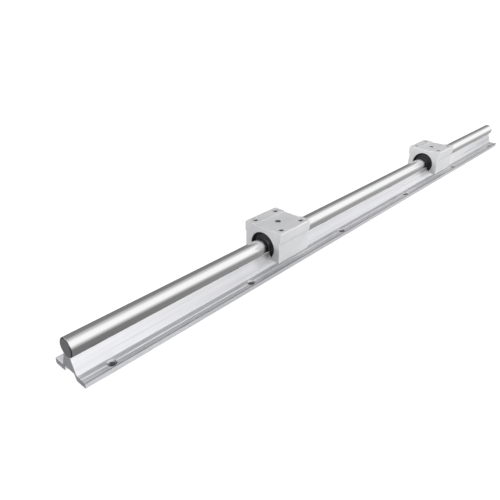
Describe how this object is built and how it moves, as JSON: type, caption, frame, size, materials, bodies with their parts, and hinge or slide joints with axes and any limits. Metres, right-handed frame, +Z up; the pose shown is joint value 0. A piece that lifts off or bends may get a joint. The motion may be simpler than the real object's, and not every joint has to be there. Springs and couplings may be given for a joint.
{
  "type": "supported round rail with open bearing carriages",
  "caption": "Round steel shaft screwed along an aluminium support with a drilled foot, carrying open linear bearing blocks that slide along it.",
  "frame": {"origin": "centre of the support's underside, halfway along the rail", "axes": "+X along the rail, +Y across it, +Z up from the base to the carriages' mounting faces"},
  "size_m": [0.8, 0.045, 0.045],
  "materials": {
    "support": "clear anodised extrusion, satin with fine lengthwise lines",
    "shaft": "hard chromed and ground, soft mirror",
    "housing": "clear anodised, matte satin, milled ends",
    "sleeve": "ground bearing steel",
    "retainer": "moulded black resin",
    "seal": "matte black rubber"
  },
  "bodies": {
    "rail": {"rail_support": "support", "shaft": "shaft"},
    "carriage_1": {"carriage_1_housing": "housing", "carriage_1_bearing_sleeve": "sleeve", "carriage_1_ball_retainer": "retainer", "carriage_1_seal_front": "seal", "carriage_1_seal_rear": "seal"},
    "carriage_2": {"carriage_2_housing": "housing", "carriage_2_bearing_sleeve": "sleeve", "carriage_2_ball_retainer": "retainer", "carriage_2_seal_front": "seal", "carriage_2_seal_rear": "seal"}
  },
  "joints": [
    {"name": "carriage_1_slide", "type": "slide", "parent": "rail", "child": "carriage_1", "axis": [1, 0, 0], "range_m": [-0.2075, 0.147]},
    {"name": "carriage_2_slide", "type": "slide", "parent": "rail", "child": "carriage_2", "axis": [1, 0, 0], "range_m": [-0.149, 0.2055]}
  ]
}
